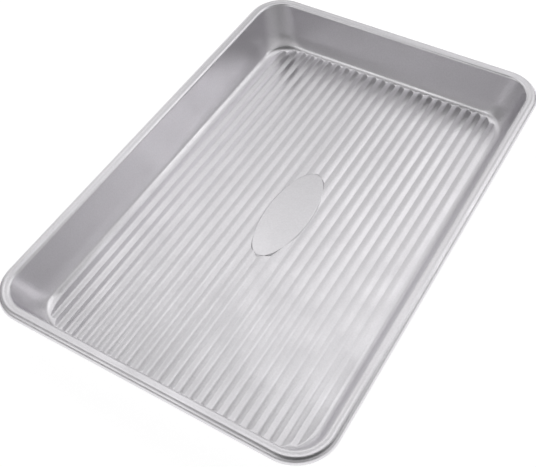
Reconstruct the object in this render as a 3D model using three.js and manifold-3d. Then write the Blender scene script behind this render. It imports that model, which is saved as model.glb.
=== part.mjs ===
// A rimmed baking sheet: a pan drawn from sheet steel, with a ribbed floor and a rim curled round a wire.
// Millimetres, +Z up, +Y along the long sides, origin at the middle of the underside.
import * as THREE from "three";
import { mergeVertices } from "three/addons/utils/BufferGeometryUtils.js";
import Module from "manifold-3d";

// Overall sizes, measured over the outside of the rim.
const OUTER_LENGTH = 404;
const OUTER_WIDTH = 274;
const HEIGHT = 40.5;
const RIM_CORNER_RADIUS = 31.6;

// Sheet, walls and floor. The foot of a wall sweeps in from the wall's flare to a wider one, where the
// floor's fillet takes over.
const SHEET_THICKNESS = 0.8;
const WALL_FLARE_DEGREES = 14;
const WALL_FOOT_FLARE_DEGREES = 28;
const WALL_FOOT_RADIUS = 50;
const FLOOR_FILLET_RADIUS = 6.6;
const FLOOR_CORNER_RADIUS = 29;

// Rim, from the wire outwards and then in towards the wall.
const WIRE_DIAMETER = 5.5;
const WIRE_CLEARANCE = 0.3;
const WIRE_BUTT_GAP = 0.6;
const CURL_END_DEGREES = -190;
const BEAD_RISE = 0.3;
const FLANGE_WIDTH = 3.2;
const SHOULDER_RADIUS = 2.6;

// Ribs pressed up into the floor. Each runs on past the floor's edge, until the fillet has risen over it.
const RIB_PITCH = 9.24;
const RIB_FOOT_WIDTH = 9;
const RIB_TOP_WIDTH = 2;
const RIB_HEIGHT = 1;
const RIB_OVERRUN = 4;

// Flat oval pad in the middle of the floor, one small step above the crests of the ribs that run into it.
const PAD_LENGTH = 98.5;
const PAD_WIDTH = 39;
const PAD_STEP = 0.1;
const PAD_EDGE_WIDTH = 1.5;

// How finely round shapes are cut into facets.
const CORNER_STEPS = 4;
const RIB_END_STEPS = 4;
const PAD_STEPS = 48;
const BEND_STEPS = 5;
const CURL_STEPS = 14;
const WIRE_SIDES = 12;

const wasm = await Module();
wasm.setup();

const flare = THREE.MathUtils.degToRad(WALL_FLARE_DEGREES);
const footFlare = THREE.MathUtils.degToRad(WALL_FOOT_FLARE_DEGREES);
const curlInside = WIRE_DIAMETER / 2 + WIRE_CLEARANCE;
const curlOutside = curlInside + SHEET_THICKNESS;
const lengthBeyondWidth = (OUTER_LENGTH - OUTER_WIDTH) / 2;
const padHeight = RIB_HEIGHT + PAD_STEP;

// Centres of the four bends in the pan's section, where x is the half width of the pan at that point.
const bead = new THREE.Vector2(OUTER_WIDTH / 2 - curlOutside, HEIGHT - curlOutside);
const shoulder = new THREE.Vector2(bead.x - FLANGE_WIDTH, HEIGHT - BEAD_RISE - SHOULDER_RADIUS);
const filletHeight = SHEET_THICKNESS + FLOOR_FILLET_RADIUS;
const footBeyondFillet = WALL_FOOT_RADIUS - FLOOR_FILLET_RADIUS;
const footHeight = filletHeight + footBeyondFillet * Math.sin(footFlare);
const bendsAcrossWall = SHOULDER_RADIUS + WALL_FOOT_RADIUS;
const wallRise = shoulder.y - footHeight + bendsAcrossWall * Math.sin(flare);
const wallRun = bendsAcrossWall * Math.cos(flare) + wallRise * Math.tan(flare);
const wallFoot = new THREE.Vector2(shoulder.x - wallRun, footHeight);
const fillet = new THREE.Vector2(wallFoot.x + footBeyondFillet * Math.cos(footFlare), filletHeight);

const floorHalfWidth = fillet.x;
const floorHalfLength = floorHalfWidth + lengthBeyondWidth;
const wallTopHalfWidth = shoulder.x - SHOULDER_RADIUS * Math.cos(flare);

// Corner radius of the pan where its half width is given: the rim's corners lie side by side, and the
// wall's corners blend from the rim down to the floor.
function cornerRadius(halfWidth) {
  if (halfWidth >= wallTopHalfWidth) {
    return RIM_CORNER_RADIUS - (OUTER_WIDTH / 2 - halfWidth);
  }
  const wallTopRadius = RIM_CORNER_RADIUS - (OUTER_WIDTH / 2 - wallTopHalfWidth);
  const down = (wallTopHalfWidth - halfWidth) / (wallTopHalfWidth - floorHalfWidth);
  return THREE.MathUtils.lerp(wallTopRadius, FLOOR_CORNER_RADIUS, down);
}

// Points of a flat path at one height.
function ring(path, steps, height) {
  return path.getPoints(steps).map((point) => new THREE.Vector3(point.x, point.y, height));
}

// The pan's outline where its section passes through a point.
function panRing(sectionPoint) {
  const radius = cornerRadius(sectionPoint.x);
  const cornerX = sectionPoint.x - radius;
  const cornerY = sectionPoint.x + lengthBeyondWidth - radius;
  const path = new THREE.Path();
  path.absarc(cornerX, cornerY, radius, 0, Math.PI / 2);
  path.absarc(-cornerX, cornerY, radius, Math.PI / 2, Math.PI);
  path.absarc(-cornerX, -cornerY, radius, Math.PI, (3 * Math.PI) / 2);
  path.absarc(cornerX, -cornerY, radius, (3 * Math.PI) / 2, 2 * Math.PI);
  return ring(path, CORNER_STEPS, sectionPoint.y);
}

// A rib's outline: a straight run between two round ends.
function ribRing(x, halfLength, halfWidth, height) {
  const path = new THREE.Path();
  path.absarc(x, halfLength, halfWidth, 0, Math.PI);
  path.absarc(x, -halfLength, halfWidth, Math.PI, 2 * Math.PI);
  return ring(path, RIB_END_STEPS, height);
}

// The pad's outline, its edge moved out by a distance.
function padRing(outwards, height) {
  const halfWidth = PAD_WIDTH / 2 + outwards;
  const halfLength = PAD_LENGTH / 2 + outwards;
  const ellipse = new THREE.EllipseCurve(0, 0, halfWidth, halfLength, 0, 2 * Math.PI);
  return ring(ellipse, PAD_STEPS, height).slice(0, -1);
}

// A closed skin over rings that run from the top face outwards and round to the bottom face. With
// `endless`, the last ring joins the first; otherwise both are filled with flat faces.
function loft(rings, endless = false) {
  const across = rings[0].length;
  const triangles = [];
  const bands = endless ? rings.length : rings.length - 1;
  for (let band = 0; band < bands; band++) {
    const here = band * across;
    const next = ((band + 1) % rings.length) * across;
    for (let i = 0; i < across; i++) {
      const j = (i + 1) % across;
      triangles.push(here + i, next + i, next + j);
      triangles.push(here + i, next + j, here + j);
    }
  }
  if (!endless) {
    const last = (rings.length - 1) * across;
    for (const [a, b, c] of THREE.ShapeUtils.triangulateShape(rings[0], [])) {
      triangles.push(a, b, c);
    }
    for (const [a, b, c] of THREE.ShapeUtils.triangulateShape(rings.at(-1), [])) {
      triangles.push(last + a, last + c, last + b);
    }
  }
  return new THREE.BufferGeometry().setFromPoints(rings.flat()).setIndex(triangles);
}

// A closed geometry as a solid that can be joined and cut.
function solid(geometry) {
  const bare = new THREE.BufferGeometry().setAttribute("position", geometry.getAttribute("position"));
  const merged = mergeVertices(bare.setIndex(geometry.getIndex()));
  return new wasm.Manifold(
    new wasm.Mesh({
      numProp: 3,
      vertProperties: merged.getAttribute("position").array,
      triVerts: Uint32Array.from(merged.getIndex().array),
    }),
  );
}

// A solid as a named mesh.
function mesh(name, body, material) {
  const { vertProperties, triVerts } = body.getMesh();
  const geometry = new THREE.BufferGeometry()
    .setAttribute("position", new THREE.BufferAttribute(vertProperties, 3))
    .setIndex(new THREE.BufferAttribute(triVerts, 1));
  geometry.computeVertexNormals();
  const made = new THREE.Mesh(geometry, material);
  made.name = name;
  return made;
}

function arc(centre, radius, startAngle, endAngle, steps) {
  const clockwise = endAngle < startAngle;
  const curve = new THREE.EllipseCurve(centre.x, centre.y, radius, radius, startAngle, endAngle, clockwise);
  return curve.getPoints(steps);
}

// One face of the sheet in section, from the floor's edge up the wall and round the curl. The upper
// face has depth 0 and the lower face lies one sheet thickness beneath it.
function sheetFace(depth) {
  const curlRadius = curlOutside - depth;
  const curlStart = Math.PI - Math.asin((curlRadius - BEAD_RISE) / curlRadius);
  const curlEnd = THREE.MathUtils.degToRad(CURL_END_DEGREES);
  return [
    ...arc(fillet, FLOOR_FILLET_RADIUS + depth, -Math.PI / 2, -footFlare, BEND_STEPS),
    ...arc(wallFoot, WALL_FOOT_RADIUS + depth, -footFlare, -flare, BEND_STEPS).slice(1),
    ...arc(shoulder, SHOULDER_RADIUS - depth, Math.PI - flare, Math.PI / 2, BEND_STEPS),
    ...arc(bead, curlRadius, curlStart, curlEnd, CURL_STEPS),
  ];
}

// The drawn pan before its floor is pressed.
function plainPan() {
  const section = [...sheetFace(0), ...sheetFace(SHEET_THICKNESS).reverse()];
  return solid(loft(section.map(panRing)));
}

// A pressed form is a bump with sloping sides. Its foot is carried on down by half a sheet, so that the
// floor's face cuts it cleanly.
const footDepth = SHEET_THICKNESS / 2;

// The room above the middle of the sheet, up to the top of the fillet.
function basin() {
  const side = arc(fillet, FLOOR_FILLET_RADIUS + footDepth, -footFlare, -Math.PI / 2, BEND_STEPS);
  return solid(loft(side.map(panRing)));
}

// A rib as a bump on a face at the given height.
function ribBump({ x, halfLength }, height) {
  const topHalf = RIB_TOP_WIDTH / 2;
  const slope = (RIB_FOOT_WIDTH - RIB_TOP_WIDTH) / 2 / RIB_HEIGHT;
  const footHalf = RIB_FOOT_WIDTH / 2 + slope * footDepth;
  const top = ribRing(x, halfLength, topHalf, height + RIB_HEIGHT);
  const foot = ribRing(x, halfLength, footHalf, height - footDepth);
  return solid(loft([top, foot]));
}

// The oval pad as a bump on a face at the given height.
function padBump(height) {
  const slope = PAD_EDGE_WIDTH / padHeight;
  const top = padRing(-PAD_EDGE_WIDTH, height + padHeight);
  const foot = padRing(slope * footDepth, height - footDepth);
  return solid(loft([top, foot]));
}

// Where each rib runs, over the edge of the floor at both ends.
function ribRuns() {
  const cornerX = floorHalfWidth - FLOOR_CORNER_RADIUS;
  const cornerY = floorHalfLength - FLOOR_CORNER_RADIUS;
  const ribsPerSide = Math.floor((floorHalfWidth - RIB_FOOT_WIDTH / 2) / RIB_PITCH + 0.5);
  const runs = [];
  for (let rib = -ribsPerSide; rib < ribsPerSide; rib++) {
    const x = (rib + 0.5) * RIB_PITCH;
    const intoCorner = Math.max(Math.abs(x) - cornerX, 0);
    const halfLength = cornerY + Math.sqrt((FLOOR_CORNER_RADIUS + RIB_OVERRUN) ** 2 - intoCorner ** 2);
    runs.push({ x, halfLength });
  }
  return runs;
}

// The finished pan: every form stands up from the floor's upper face and is hollow underneath.
function panShell() {
  const runs = ribRuns();
  const room = basin();
  let pan = plainPan().add(padBump(SHEET_THICKNESS));
  for (const run of runs) {
    pan = pan.add(ribBump(run, SHEET_THICKNESS).intersect(room));
  }
  pan = pan.subtract(padBump(0));
  for (const run of runs) {
    pan = pan.subtract(ribBump(run, 0));
  }
  return pan;
}

// The rod inside the curl, bent into a loop whose two ends are butted in the middle of a short side.
function rimWire() {
  const section = arc(bead, WIRE_DIAMETER / 2, Math.PI, -Math.PI, WIRE_SIDES).slice(0, -1);
  const loop = solid(loft(section.map(panRing), true));
  const seam = new THREE.BoxGeometry(WIRE_BUTT_GAP, 2 * WIRE_DIAMETER, 2 * WIRE_DIAMETER);
  seam.translate(0, bead.x + lengthBeyondWidth, bead.y);
  return loop.subtract(solid(seam));
}

const aluminisedSteel = new THREE.MeshStandardMaterial({ color: 0xc9c8cc, roughness: 0.38, metalness: 1 });
const drawnWire = new THREE.MeshStandardMaterial({ color: 0x8d8e92, roughness: 0.45, metalness: 1 });

const bakingSheet = new THREE.Group();
bakingSheet.add(mesh("pan_shell", panShell(), aluminisedSteel));
bakingSheet.add(mesh("rim_wire", rimWire(), drawnWire));

export default bakingSheet;
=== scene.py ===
"""Looks of the rimmed baking sheet: a satin pan drawn from aluminised steel, on a white table.

Everything is in metres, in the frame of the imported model: +Z up, +Y along the long sides, and the
origin in the middle of the underside.
"""
import math

import bmesh
import bpy
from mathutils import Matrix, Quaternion, Vector
from mathutils.geometry import delaunay_2d_cdt


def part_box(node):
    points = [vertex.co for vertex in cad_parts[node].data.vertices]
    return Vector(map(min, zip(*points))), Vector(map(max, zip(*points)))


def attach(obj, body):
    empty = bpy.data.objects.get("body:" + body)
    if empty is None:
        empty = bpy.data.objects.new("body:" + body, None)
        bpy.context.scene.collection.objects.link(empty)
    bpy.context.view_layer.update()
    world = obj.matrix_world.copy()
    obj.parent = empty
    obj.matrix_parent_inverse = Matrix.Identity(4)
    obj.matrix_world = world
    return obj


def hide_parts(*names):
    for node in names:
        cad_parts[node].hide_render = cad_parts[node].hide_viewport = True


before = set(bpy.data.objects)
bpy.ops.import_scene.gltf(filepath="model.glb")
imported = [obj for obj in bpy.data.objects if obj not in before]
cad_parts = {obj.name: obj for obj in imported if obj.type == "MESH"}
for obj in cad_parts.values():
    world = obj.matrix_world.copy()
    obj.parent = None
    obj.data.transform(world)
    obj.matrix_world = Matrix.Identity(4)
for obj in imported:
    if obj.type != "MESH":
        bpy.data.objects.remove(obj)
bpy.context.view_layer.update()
_, pan_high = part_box("pan_shell")

# Overall sizes, from the frame.
OUTER_HALF_WIDTH = pan_high.x
OUTER_HALF_LENGTH = pan_high.y
HEIGHT = pan_high.z
RIM_CORNER_RADIUS = 0.0316

# Sheet, walls and floor. The foot of a wall sweeps in from the wall's flare to a wider one, where the
# floor's fillet takes over.
SHEET_THICKNESS = 0.0008
WALL_FLARE = math.radians(14)
WALL_FOOT_FLARE = math.radians(28)
WALL_FOOT_RADIUS = 0.05
FLOOR_FILLET_RADIUS = 0.0066
FLOOR_CORNER_RADIUS = 0.029

# Rim, from the wire outwards and then in towards the wall.
CURL_RADIUS = 0.00385
CURL_END = math.radians(-190)
BEAD_RISE = 0.0003
CREASE_RADIUS = 0.0008
FLANGE_WIDTH = 0.0032
SHOULDER_RADIUS = 0.0026

# Ribs pressed up into the floor, which run on past its edge until the fillet has risen over them.
RIB_PITCH = 0.00924
RIB_FOOT_WIDTH = 0.009
RIB_CREST_RADIUS = 0.0018
RIB_HEIGHT = 0.001

# Flat oval pad in the middle of the floor, one small step above the crests of the ribs that run into it.
PAD_LENGTH = 0.0985
PAD_WIDTH = 0.039
PAD_STEP = 0.0001
PAD_EDGE_WIDTH = 0.0015

# How finely round shapes are cut. Each flat stretch has points a support distance from its ends, so that
# smooth shading bends only over the bends. The first steps of the fillet are cut with the floor's ribs.
CORNER_STEPS = 16
BEND_STEPS = 10
CREASE_STEPS = 4
CURL_STEPS = 30
RIB_RINGS = 8
CREST_CROWDING = 1.5
VALLEY_STEPS = 8
FLOOR_STEPS = 6
PAD_STEPS = 96
SUPPORT = 0.0006
FOOT_SUPPORT = 0.0002
SIDE_SUPPORT = 0.004
WELD_DISTANCE = 1e-6
SHARP_ANGLE = math.radians(45)

# What the triangulation of the floor gives back: the triangles inside its outermost line.
TRIANGLES_INSIDE = 1

# The sheet's finish: darkest and lightest tint of its speckle, least and most roughness of its clouds.
# Each noise has its waves per metre and its detail.
SHEET_TINTS = ((0.745, 0.732, 0.755), (0.80, 0.787, 0.812))
SHEET_ROUGHNESS = (0.28, 0.38)
SHEET_CLOUDS = (35, 4)
SHEET_GRAIN = (800, 3)
GRAIN_STRENGTH = 0.4
GRAIN_DEPTH = 0.0002

# The wire's finish, with one noise for both its tint and its roughness.
WIRE_TINTS = ((0.44, 0.44, 0.46), (0.54, 0.54, 0.55))
WIRE_ROUGHNESS = (0.35, 0.5)
WIRE_CLOUDS = (400, 3)

# Noise values lie mostly between these two.
NOISE_LOW = 0.3
NOISE_HIGH = 0.7

# The table, a hair below the pan so that their faces don't lie in one plane. Its glow is seen by the
# camera and in reflections, and lights nothing. Glow and lit colour together show as white.
TABLE_HALF_SIDE = 6.0
TABLE_GAP = 0.0001
TABLE_GLOW = 0.88
TABLE_COLOUR = (0.3, 0.3, 0.3)
TABLE_ROUGHNESS = 0.9

# Brightness of the studio dome by the upward part of the direction that is looked in.
STUDIO_LEVELS = ((0.0, 0.2), (0.15, 0.35), (0.35, 0.05), (0.55, 0.83), (0.75, 0.05), (0.95, 0.05))

# Softboxes: azimuth from the far side towards the right and elevation, both in degrees, then width,
# height and level.
SOFTBOX_DISTANCE = 1.2
SOFTBOXES = {
    "far_bank": (-26, 60, 1.9, 1.0, 0.36),
    "far_high": (-20, 62, 0.5, 0.45, 0.5),
    "far_key": (4, 45, 0.8, 0.45, 0.22),
    "far_right": (22, 44, 0.5, 0.45, 0.45),
    "far_strip": (-5, 8, 1.1, 0.25, 1.4),
    "left_high": (-60, 60, 0.62, 0.55, 0.64),
    "left_low": (-60, 14, 1.2, 0.45, 0.7),
    "right_bank": (54, 18, 1.0, 0.6, 0.25),
    "right_key": (47, 35, 0.4, 0.4, 1.2),
    "right_high": (30, 62, 0.5, 0.45, 0.75),
    "right_side": (95, 25, 0.8, 0.6, 0.3),
    "near_key": (-155, 38, 0.7, 0.6, 0.75),
    "near_high": (-138, 58, 0.5, 0.45, 0.65),
}

# The camera, solved from the photograph's vanishing points. Its lens and sensor are in millimetres.
CAMERA_POSITION = Vector((0.2461, -0.3922, 0.5510))
CAMERA_AIM = Vector((-0.0047, -0.0247, 0.0))
CAMERA_ROLL = math.radians(-4.385)
CAMERA_LENS = 59.59
CAMERA_SENSOR = 36.0

# Centres of the bends in the pan's section, where x is the half width of the pan and y the height.
bead = Vector((OUTER_HALF_WIDTH - CURL_RADIUS, HEIGHT - CURL_RADIUS))
flange_height = HEIGHT - BEAD_RISE
shoulder = Vector((bead.x - FLANGE_WIDTH, flange_height - SHOULDER_RADIUS))
crease_to_bead = CURL_RADIUS + CREASE_RADIUS
crease_rise = flange_height + CREASE_RADIUS - bead.y
crease_run = math.sqrt(crease_to_bead ** 2 - crease_rise ** 2)
crease = Vector((bead.x - crease_run, flange_height + CREASE_RADIUS))
crease_end = math.atan2(crease.y - bead.y, crease.x - bead.x)
fillet_height = SHEET_THICKNESS + FLOOR_FILLET_RADIUS
foot_beyond_fillet = WALL_FOOT_RADIUS - FLOOR_FILLET_RADIUS
foot_height = fillet_height + foot_beyond_fillet * math.sin(WALL_FOOT_FLARE)
bends_across_wall = SHOULDER_RADIUS + WALL_FOOT_RADIUS
wall_rise = shoulder.y - foot_height + bends_across_wall * math.sin(WALL_FLARE)
wall_run = bends_across_wall * math.cos(WALL_FLARE) + wall_rise * math.tan(WALL_FLARE)
wall_foot = Vector((shoulder.x - wall_run, foot_height))
fillet = Vector((wall_foot.x + foot_beyond_fillet * math.cos(WALL_FOOT_FLARE), fillet_height))

length_beyond_width = OUTER_HALF_LENGTH - OUTER_HALF_WIDTH
floor_half_width = fillet.x
wall_top_half_width = shoulder.x - SHOULDER_RADIUS * math.cos(WALL_FLARE)
pad_height = RIB_HEIGHT + PAD_STEP


def arc(centre, radius, start, end, steps):
    """Points of an arc, both ends included."""
    angles = [start + (end - start) * i / steps for i in range(steps + 1)]
    return [centre + radius * Vector((math.cos(a), math.sin(a))) for a in angles]


def supported(start, end, support):
    """Two points inside a straight stretch, one near each end."""
    along = (end - start).normalized() * support
    return [start + along, end - along]


def sheet_face(depth):
    """One face of the sheet in section, from the floor's edge up the wall and round the curl.

    The upper face has depth 0, and the lower face lies one sheet thickness beneath it.
    """
    base = arc(fillet, FLOOR_FILLET_RADIUS + depth, -math.pi / 2, -WALL_FOOT_FLARE, BEND_STEPS)
    foot = arc(wall_foot, WALL_FOOT_RADIUS + depth, -WALL_FOOT_FLARE, -WALL_FLARE, BEND_STEPS)[1:]
    edge = arc(shoulder, SHOULDER_RADIUS - depth, math.pi - WALL_FLARE, math.pi / 2, BEND_STEPS)
    wall = supported(foot[-1], edge[0], SUPPORT)
    dip = arc(crease, CREASE_RADIUS + depth, -math.pi / 2, crease_end - math.pi, CREASE_STEPS)
    curl = arc(bead, CURL_RADIUS - depth, crease_end, CURL_END, CURL_STEPS)
    return base + foot + wall + edge + dip + curl[1:]


def corner_radius(half_width):
    """The rim's corners share their centres, and the wall's blend from the rim's down to the floor's."""
    if half_width >= wall_top_half_width:
        return RIM_CORNER_RADIUS - (OUTER_HALF_WIDTH - half_width)
    wall_top_radius = RIM_CORNER_RADIUS - (OUTER_HALF_WIDTH - wall_top_half_width)
    down = (wall_top_half_width - half_width) / (wall_top_half_width - floor_half_width)
    return wall_top_radius + (FLOOR_CORNER_RADIUS - wall_top_radius) * down


def pan_outline(half_width):
    """The pan's outline at one half width, as flat points in turning order."""
    radius = corner_radius(half_width)
    corner = Vector((half_width - radius, half_width + length_beyond_width - radius))
    quarters = []
    for quarter, (across, along) in enumerate(((1, 1), (-1, 1), (-1, -1), (1, -1))):
        centre = Vector((across * corner.x, along * corner.y))
        start = quarter * math.pi / 2
        quarters.append(arc(centre, radius, start, start + math.pi / 2, CORNER_STEPS))
    points = []
    for quarter, turn in enumerate(quarters):
        next_turn = quarters[(quarter + 1) % len(quarters)]
        points += turn + supported(turn[-1], next_turn[0], SIDE_SUPPORT)
    return points


def mirrored(points, across=1, along=1):
    """Flat points mirrored in the pan's middle planes."""
    return [Vector((across * point.x, along * point.y)) for point in points]


def far_edge(half_width, x):
    """How far along the pan its outline at one half width lies, at a place across the pan."""
    radius = corner_radius(half_width)
    into_corner = max(abs(x) - (half_width - radius), 0)
    return half_width + length_beyond_width - radius + math.sqrt(radius ** 2 - into_corner ** 2)


def pad_arc(inwards, start, end, steps):
    """Points of the pad's outline between two angles, its edge moved in by a distance."""
    half_width = PAD_WIDTH / 2 - inwards
    half_length = PAD_LENGTH / 2 - inwards
    turns = [start + (end - start) * i / steps for i in range(steps + 1)]
    return [Vector((half_width * math.cos(t), half_length * math.sin(t))) for t in turns]


def pad_inset(rise):
    """How far in from its foot the pad's edge, rounded at foot and top, has risen to a height."""
    return PAD_EDGE_WIDTH * math.acos(1 - 2 * rise / pad_height) / math.pi


def rib_places():
    """Each rib's place across the floor."""
    ribs_per_side = math.floor((floor_half_width - RIB_FOOT_WIDTH / 2) / RIB_PITCH + 0.5)
    return [(rib + 0.5) * RIB_PITCH for rib in range(-ribs_per_side, ribs_per_side)]


def rib_levels():
    """Distances from a rib's spine at which its flanks are cut, closer together towards the crest."""
    foot = RIB_FOOT_WIDTH / 2
    shares = [1 - ring / RIB_RINGS for ring in range(RIB_RINGS)]
    return [foot, *((foot - FOOT_SUPPORT) * share ** CREST_CROWDING for share in shares)]


def rib_sides(places, from_spine, half_width, inset):
    """Lines along the ribs at a distance from their spines, out from the pad or the middle."""
    pad_half_width = PAD_WIDTH / 2 - inset
    pad_half_length = PAD_LENGTH / 2 - inset
    lines = []
    for x in [place + side for place in places for side in (-from_spine, from_spine)]:
        across_pad = min(abs(x) / pad_half_width, 1)
        start = Vector((x, pad_half_length * math.sqrt(1 - across_pad ** 2)))
        end = Vector((x, far_edge(half_width, x)))
        line = [start, *supported(start, end, SUPPORT), end]
        lines += [line, mirrored(line, along=-1)]
    return lines


def pad_edges(places, from_spine, inset):
    """Lines that end the valleys between the ribs where they meet the pad's edge."""
    pad_half_width = PAD_WIDTH / 2 - inset
    lines = []
    for here, there in zip(places, places[1:]):
        left = max(here + from_spine, -pad_half_width)
        right = min(there - from_spine, pad_half_width)
        if left < right:
            turns = [math.acos(x / pad_half_width) for x in (left, right)]
            line = pad_arc(inset, *turns, VALLEY_STEPS)
            lines += [line, mirrored(line, along=-1)]
    return lines


def valley_ends(places, from_spine, half_width):
    """Lines that end the valleys between the ribs, along the pan's outline at one half width."""
    lines = []
    for here, there in zip(places, places[1:]):
        start = here + from_spine
        step = (there - from_spine - start) / VALLEY_STEPS
        across = [start + step * i for i in range(VALLEY_STEPS + 1)]
        line = [Vector((x, far_edge(half_width, x))) for x in across]
        lines += [line, mirrored(line, along=-1)]
    return lines


def floor_sides(last_place, from_spine, half_width):
    """Lines along the long sides and round the corners, from the last rib's far end to its near end."""
    radius = corner_radius(half_width)
    corner = Vector((half_width - radius, half_width + length_beyond_width - radius))
    start = math.acos((last_place + from_spine - corner.x) / radius)
    turn = arc(corner, radius, start, 0, CORNER_STEPS)
    turn_back = mirrored(turn[::-1], along=-1)
    line = turn + supported(turn[-1], turn_back[0], SIDE_SUPPORT) + turn_back
    return [line, mirrored(line, across=-1)]


def rib_rise(from_spine):
    """Height of a rib at a distance from its spine: flat flanks that meet in a rounded crest."""
    flank = math.hypot(from_spine, RIB_CREST_RADIUS) - RIB_CREST_RADIUS
    whole = math.hypot(RIB_FOOT_WIDTH / 2, RIB_CREST_RADIUS) - RIB_CREST_RADIUS
    return RIB_HEIGHT * (1 - flank / whole)


class FloorPlan:
    """Flat points with heights, and the lines between them that the floor's mesh has to follow."""

    def __init__(self):
        self.points = []
        self.heights = []
        self.lines = []

    def add(self, points, height, closed=True):
        first = len(self.points)
        count = len(points)
        self.points += points
        self.heights += [height] * count
        self.lines += [(first + i, first + i + 1) for i in range(count - 1)]
        if closed:
            self.lines.append((first + count - 1, first))

    def mesh(self):
        """Corners in space and triangles."""
        cut = delaunay_2d_cdt(self.points, self.lines, [], TRIANGLES_INSIDE, WELD_DISTANCE)
        flat, _, faces, sources, _, _ = cut
        corners = [Vector((p.x, p.y, self.heights[s[0]])) for p, s in zip(flat, sources)]
        return corners, faces


def floor_plan(depth):
    """One face of the pressed floor, cut along lines of equal height.

    It reaches up the fillet as far as the ribs run into it.
    """
    plan = FloorPlan()
    floor_height = SHEET_THICKNESS - depth
    fillet_radius = FLOOR_FILLET_RADIUS + depth
    border = sheet_face(depth)[FLOOR_STEPS]
    plan.add(pan_outline(border.x), border.y)
    places = rib_places()
    for from_spine in rib_levels():
        rise = rib_rise(from_spine)
        half_width = floor_half_width + math.sqrt(2 * fillet_radius * rise - rise ** 2)
        inset = pad_inset(rise)
        lines = rib_sides(places, from_spine, half_width, inset)
        lines += valley_ends(places, from_spine, half_width)
        lines += floor_sides(places[-1], from_spine, half_width)
        lines += pad_edges(places, from_spine, inset)
        for line in lines:
            plan.add(line, floor_height + rise, closed=False)
    for inset in (PAD_EDGE_WIDTH, PAD_EDGE_WIDTH + SUPPORT):
        plan.add(pad_arc(inset, 0, 2 * math.pi, PAD_STEPS)[:-1], floor_height + pad_height)
    return plan


def add_faces(form, corners, faces):
    """Adds a patch of faces to a mesh in the making."""
    made = [form.verts.new(corner) for corner in corners]
    for face in faces:
        form.faces.new([made[i] for i in face])


def pan_mesh():
    """The pan as one closed skin: pressed floor, walls, rim and curl, on both faces of the sheet."""
    form = bmesh.new()
    section = sheet_face(0)[FLOOR_STEPS:] + sheet_face(SHEET_THICKNESS)[FLOOR_STEPS:][::-1]
    rings = [[Vector((p.x, p.y, at.y)) for p in pan_outline(at.x)] for at in section]
    across = len(rings[0])
    bands = [
        (r * across + i, (r + 1) * across + i, (r + 1) * across + j, r * across + j)
        for r in range(len(rings) - 1)
        for i, j in zip(range(across), [*range(1, across), 0])
    ]
    add_faces(form, sum(rings, []), bands)
    for depth in (0, SHEET_THICKNESS):
        add_faces(form, *floor_plan(depth).mesh())
    bmesh.ops.remove_doubles(form, verts=form.verts, dist=WELD_DISTANCE)
    bmesh.ops.recalc_face_normals(form, faces=form.faces)
    mesh = bpy.data.meshes.new("pan")
    form.to_mesh(mesh)
    form.free()
    mesh.shade_smooth()
    mesh.set_sharp_from_angle(angle=SHARP_ANGLE)
    return mesh


def add_object(name, data):
    made = bpy.data.objects.new(name, data)
    bpy.context.scene.collection.objects.link(made)
    return made


def node_material(name):
    """A new material, with its nodes, its links and its main shader."""
    material = bpy.data.materials.new(name)
    material.use_nodes = True
    tree = material.node_tree
    return material, tree.nodes, tree.links, tree.nodes["Principled BSDF"]


def noise(nodes, links, coordinates, scale, detail):
    """A grey noise of one scale, in waves per metre."""
    texture = nodes.new("ShaderNodeTexNoise")
    texture.inputs["Scale"].default_value = scale
    texture.inputs["Detail"].default_value = detail
    links.new(coordinates, texture.inputs["Vector"])
    return texture.outputs["Fac"]


def ranged(nodes, links, value, low, high):
    """A noise spread over a range of values."""
    spread = nodes.new("ShaderNodeMapRange")
    spread.inputs["From Min"].default_value = NOISE_LOW
    spread.inputs["From Max"].default_value = NOISE_HIGH
    spread.inputs["To Min"].default_value = low
    spread.inputs["To Max"].default_value = high
    links.new(value, spread.inputs["Value"])
    return spread.outputs["Result"]


def bump(nodes, links, height, strength, distance):
    """Normals that a noise has roughened."""
    raised = nodes.new("ShaderNodeBump")
    raised.inputs["Strength"].default_value = strength
    raised.inputs["Distance"].default_value = distance
    links.new(height, raised.inputs["Height"])
    return raised.outputs["Normal"]


def tinted(nodes, links, value, dark, light):
    """A colour between two tints."""
    mixed = nodes.new("ShaderNodeMix")
    mixed.data_type = "RGBA"
    mixed.inputs["A"].default_value = (*dark, 1)
    mixed.inputs["B"].default_value = (*light, 1)
    links.new(value, mixed.inputs["Factor"])
    return mixed.outputs["Result"]


def aluminised_sheet():
    """Satin aluminised steel: a fine grain with speckled tint, and faint clouds in its roughness."""
    material, nodes, links, shader = node_material("aluminised_sheet")
    place = nodes.new("ShaderNodeTexCoord").outputs["Object"]
    shader.inputs["Metallic"].default_value = 1.0
    clouds = noise(nodes, links, place, *SHEET_CLOUDS)
    grain = noise(nodes, links, place, *SHEET_GRAIN)
    speckle = ranged(nodes, links, grain, 0, 1)
    tint = tinted(nodes, links, speckle, *SHEET_TINTS)
    roughness = ranged(nodes, links, clouds, *SHEET_ROUGHNESS)
    links.new(tint, shader.inputs["Base Color"])
    links.new(roughness, shader.inputs["Roughness"])
    links.new(bump(nodes, links, grain, GRAIN_STRENGTH, GRAIN_DEPTH), shader.inputs["Normal"])
    return material


def drawn_wire():
    """Plain drawn steel wire with faint cloudiness."""
    material, nodes, links, shader = node_material("drawn_wire")
    place = nodes.new("ShaderNodeTexCoord").outputs["Object"]
    shader.inputs["Metallic"].default_value = 1.0
    clouds = noise(nodes, links, place, *WIRE_CLOUDS)
    links.new(tinted(nodes, links, clouds, *WIRE_TINTS), shader.inputs["Base Color"])
    links.new(ranged(nodes, links, clouds, *WIRE_ROUGHNESS), shader.inputs["Roughness"])
    return material


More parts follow.
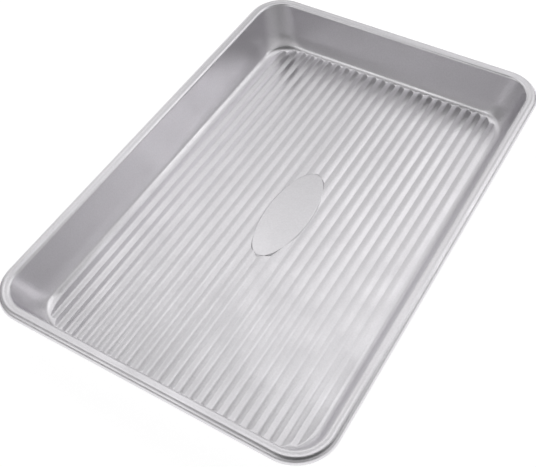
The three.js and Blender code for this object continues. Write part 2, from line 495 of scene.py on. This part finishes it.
def table_top():
    """A matt table that its glow makes white."""
    material, nodes, links, shader = node_material("white_table")
    shader.inputs["Base Color"].default_value = (*TABLE_COLOUR, 1)
    shader.inputs["Roughness"].default_value = TABLE_ROUGHNESS
    shader.inputs["Specular IOR Level"].default_value = 0.0
    shader.inputs["Emission Color"].default_value = (1, 1, 1, 1)
    path = nodes.new("ShaderNodeLightPath")
    seen = path.outputs["Is Camera Ray"]
    for ray in ("Is Glossy Ray", "Is Transmission Ray"):
        either = nodes.new("ShaderNodeMath")
        either.operation = "MAXIMUM"
        links.new(seen, either.inputs[0])
        links.new(path.outputs[ray], either.inputs[1])
        seen = either.outputs["Value"]
    glow = nodes.new("ShaderNodeMath")
    glow.operation = "MULTIPLY"
    glow.inputs[1].default_value = TABLE_GLOW
    links.new(seen, glow.inputs[0])
    links.new(glow.outputs["Value"], shader.inputs["Emission Strength"])
    return material


def add_pan():
    pan = add_object("pan", pan_mesh())
    pan.data.materials.append(aluminised_sheet())
    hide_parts("pan_shell")
    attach(pan, "root")


def dress_wire():
    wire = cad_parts["rim_wire"]
    wire.data.materials.clear()
    wire.data.materials.append(drawn_wire())


def add_table():
    form = bmesh.new()
    bmesh.ops.create_grid(form, x_segments=1, y_segments=1, size=TABLE_HALF_SIDE)
    mesh = bpy.data.meshes.new("table")
    form.to_mesh(mesh)
    form.free()
    table = add_object("table", mesh)
    table.location.z = -TABLE_GAP
    table.data.materials.append(table_top())


def add_world():
    """A studio dome with dim and bright belts, one above another."""
    world = bpy.data.worlds.new("studio")
    world.use_nodes = True
    bpy.context.scene.world = world
    nodes = world.node_tree.nodes
    links = world.node_tree.links
    direction = nodes.new("ShaderNodeTexCoord").outputs["Generated"]
    split = nodes.new("ShaderNodeSeparateXYZ")
    links.new(direction, split.inputs["Vector"])
    ramp = nodes.new("ShaderNodeValToRGB")
    stops = ramp.color_ramp.elements
    while len(stops) < len(STUDIO_LEVELS):
        stops.new(1.0)
    for stop, (upward, level) in zip(stops, STUDIO_LEVELS):
        stop.position = upward
        stop.color = (level, level, level, 1)
    links.new(split.outputs["Z"], ramp.inputs["Fac"])
    links.new(ramp.outputs["Color"], nodes["Background"].inputs["Color"])


def add_softbox(name, azimuth, elevation, width, height, level):
    """A softbox that faces the pan, and whose level is its brightness as the pan mirrors it."""
    around = math.radians(azimuth)
    upward = math.radians(elevation)
    reach = math.cos(upward)
    towards = Vector((reach * math.sin(around), reach * math.cos(around), math.sin(upward)))
    data = bpy.data.lights.new(name, "AREA")
    data.shape = "RECTANGLE"
    data.size = width
    data.size_y = height
    data.energy = level * math.pi * width * height
    lamp = add_object(name, data)
    lamp.location = SOFTBOX_DISTANCE * towards
    lamp.rotation_euler = (-towards).to_track_quat("-Z", "Y").to_euler()


def add_camera():
    data = bpy.data.cameras.new("camera")
    data.sensor_width = CAMERA_SENSOR
    data.lens = CAMERA_LENS
    camera = add_object("camera", data)
    camera.location = CAMERA_POSITION
    unrolled = (CAMERA_AIM - CAMERA_POSITION).to_track_quat("-Z", "Y")
    camera.rotation_mode = "QUATERNION"
    camera.rotation_quaternion = unrolled @ Quaternion((0, 0, 1), CAMERA_ROLL)
    bpy.context.scene.camera = camera


bpy.context.scene.view_settings.view_transform = "Standard"
add_camera()
add_pan()
dress_wire()
add_table()
add_world()
for name, values in SOFTBOXES.items():
    add_softbox(name, *values)
